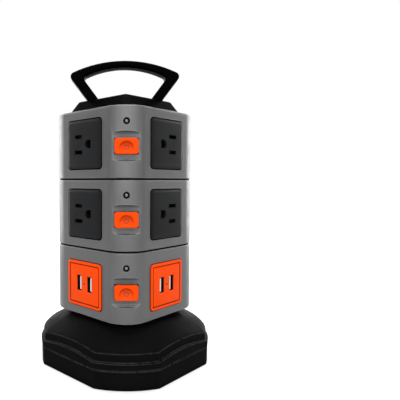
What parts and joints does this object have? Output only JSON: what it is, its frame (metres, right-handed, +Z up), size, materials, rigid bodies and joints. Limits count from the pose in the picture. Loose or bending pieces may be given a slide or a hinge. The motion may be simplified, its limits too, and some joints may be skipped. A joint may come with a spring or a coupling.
{
  "type": "power strip tower",
  "caption": "Three-tier power strip tower with sockets on its faces, USB ports, a push switch on each tier, an arched carry handle and a round base it turns on to wind in its cord.",
  "frame": {"origin": "on the floor under the tower's axis, at the middle of the centre foot's underside", "axes": "+Z up along the tower's axis; -Y towards the rounded corner with the switches; +X to the right seen from there"},
  "size_m": [0.15, 0.219, 0.263],
  "materials": {
    "black_plastic": "semi-gloss",
    "grey_plastic": "satin",
    "orange_plastic": "semi-gloss",
    "socket_black": "satin",
    "switch_black": "matt",
    "dark_gasket": "matt",
    "black_rubber": "matt",
    "cord_jacket": "satin",
    "white_plastic": "satin",
    "zinc_steel": "zinc plated",
    "nickel_steel": "nickel plated",
    "nickel_brass": "nickel plated",
    "contact_brass": "satin",
    "wire_black": "satin",
    "wire_white": "satin",
    "wire_green": "satin",
    "green_board": "coated",
    "dark_lens": "polished",
    "clear_lens": "polished"
  },
  "bodies": {
    "base": {"base_cover": "black_plastic", "base_pan": "black_plastic", "base_feet": "black_rubber", "base_screws": "zinc_steel", "cord_grommet": "black_rubber", "swivel_bush": "white_plastic", "supply_cord": "cord_jacket", "supply_plug": "cord_jacket", "plug_blades": "nickel_brass", "plug_ground_pin": "nickel_brass"},
    "tower": {"cord_spool": "white_plastic", "cord_coil": "cord_jacket", "spool_screws": "zinc_steel", "tower_floor": "black_plastic", "lower_housing": "grey_plastic", "middle_housing": "grey_plastic", "upper_housing": "grey_plastic", "lower_gasket": "dark_gasket", "upper_gasket": "dark_gasket", "top_cap": "black_plastic", "carry_handle": "black_plastic", "handle_screws": "zinc_steel", "cap_screws": "zinc_steel", "tie_screws": "zinc_steel", "upper_socket_front_right": "socket_black", "upper_socket_front_left": "socket_black", "upper_socket_back_right": "socket_black", "upper_socket_back_left": "socket_black", "middle_socket_front_right": "socket_black", "middle_socket_front_left": "socket_black", "middle_socket_back_right": "socket_black", "middle_socket_back_left": "socket_black", "lower_socket_back_right": "socket_black", "lower_socket_back_left": "socket_black", "line_contacts": "contact_brass", "neutral_contacts": "contact_brass", "ground_contacts": "contact_brass", "line_wires": "wire_black", "neutral_wires": "wire_white", "ground_wires": "wire_green", "bus_column": "white_plastic", "bus_bars": "contact_brass", "usb_panel_right": "orange_plastic", "usb_panel_left": "orange_plastic", "usb_shells": "nickel_steel", "usb_tongues": "white_plastic", "usb_boards": "green_board", "usb_indicators": "dark_lens", "upper_switch": "switch_black", "middle_switch": "switch_black", "lower_switch": "switch_black", "upper_spring": "nickel_steel", "middle_spring": "nickel_steel", "lower_spring": "nickel_steel", "indicator_lamps": "clear_lens", "indicator_bezels": "dark_gasket"},
    "upper_button": {"upper_button": "orange_plastic"},
    "middle_button": {"middle_button": "orange_plastic"},
    "lower_button": {"lower_button": "orange_plastic"}
  },
  "joints": [
    {"name": "tower_turn", "type": "hinge", "parent": "base", "child": "tower", "pos_m": [0, 0, 0.0455], "axis": [0, 0, 1], "continuous": true},
    {"name": "upper_button_press", "type": "slide", "parent": "tower", "child": "upper_button", "axis": [0, 1, 0], "range_m": [0, 0.003], "stiffness_N_per_m": 300, "springref_m": -0.004, "deforming": ["upper_spring"]},
    {"name": "middle_button_press", "type": "slide", "parent": "tower", "child": "middle_button", "axis": [0, 1, 0], "range_m": [0, 0.003], "stiffness_N_per_m": 300, "springref_m": -0.004, "deforming": ["middle_spring"]},
    {"name": "lower_button_press", "type": "slide", "parent": "tower", "child": "lower_button", "axis": [0, 1, 0], "range_m": [0, 0.003], "stiffness_N_per_m": 300, "springref_m": -0.004, "deforming": ["lower_spring"]}
  ]
}
